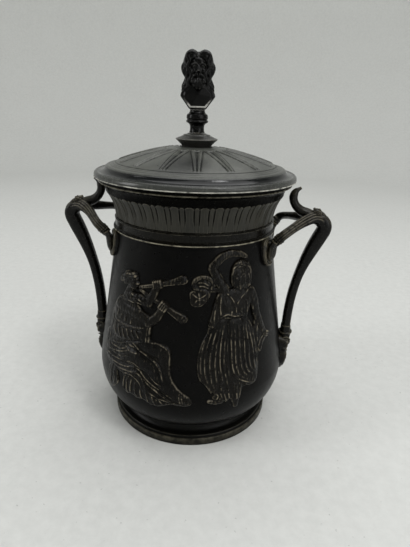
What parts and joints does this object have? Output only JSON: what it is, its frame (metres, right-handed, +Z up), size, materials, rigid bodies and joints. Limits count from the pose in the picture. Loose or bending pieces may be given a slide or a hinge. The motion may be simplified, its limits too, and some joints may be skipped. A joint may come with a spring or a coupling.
{
  "type": "lidded pot",
  "caption": "Dark patinated bronze lidded pot with forked curled handles, classical figures in relief, a leaf-banded neck and a bust finial on a lift-off domed lid.",
  "frame": {"origin": "centre of the foot ring's underside", "axes": "+Z up the pot's axis, +X through the right handle, the front with the first pair of figures towards -Y"},
  "size_m": [0.1932, 0.1466, 0.2597],
  "materials": {
    "body_bronze": "near-black brown patina, satin",
    "neck_bronze": "brown-green patina, worn on the leaf edges",
    "handle_bronze": "dark patina, worn along the reeds",
    "relief_bronze": "dark patina, worn on the raised edges",
    "lid_bronze": "dusty grey-brown patina, satin",
    "finial_bronze": "black patina, glossy where rubbed",
    "fasteners": "plain turned brass"
  },
  "bodies": {
    "vessel": {"foot_ring": "body_bronze", "body_shell": "body_bronze", "neck_collar": "neck_bronze", "leaf_band": "neck_bronze", "foot_screw_1": "fasteners", "foot_screw_2": "fasteners", "foot_screw_3": "fasteners", "handle_right": "handle_bronze", "handle_left": "handle_bronze", "lower_terminal_right": "handle_bronze", "lower_terminal_left": "handle_bronze", "terminal_screw_right": "fasteners", "terminal_screw_left": "fasteners", "shoulder_pad_front_right": "handle_bronze", "shoulder_pad_back_right": "handle_bronze", "shoulder_pad_back_left": "handle_bronze", "shoulder_pad_front_left": "handle_bronze", "pad_screw_front_right": "fasteners", "pad_screw_back_right": "fasteners", "pad_screw_back_left": "fasteners", "pad_screw_front_left": "fasteners", "relief_piper_front": "relief_bronze", "relief_piper_back": "relief_bronze", "relief_dancer_front": "relief_bronze", "relief_dancer_back": "relief_bronze"},
    "lid": {"lid_cover": "lid_bronze", "lid_flange": "lid_bronze", "finial_base": "finial_bronze", "finial_stem": "finial_bronze", "finial_bust": "finial_bronze", "finial_washer": "fasteners", "finial_nut": "fasteners", "finial_stud": "fasteners"}
  },
  "joints": [
    {"name": "lid_lift", "type": "slide", "parent": "vessel", "child": "lid", "axis": [0, 0, 1], "range_m": [0, 0.12]}
  ]
}
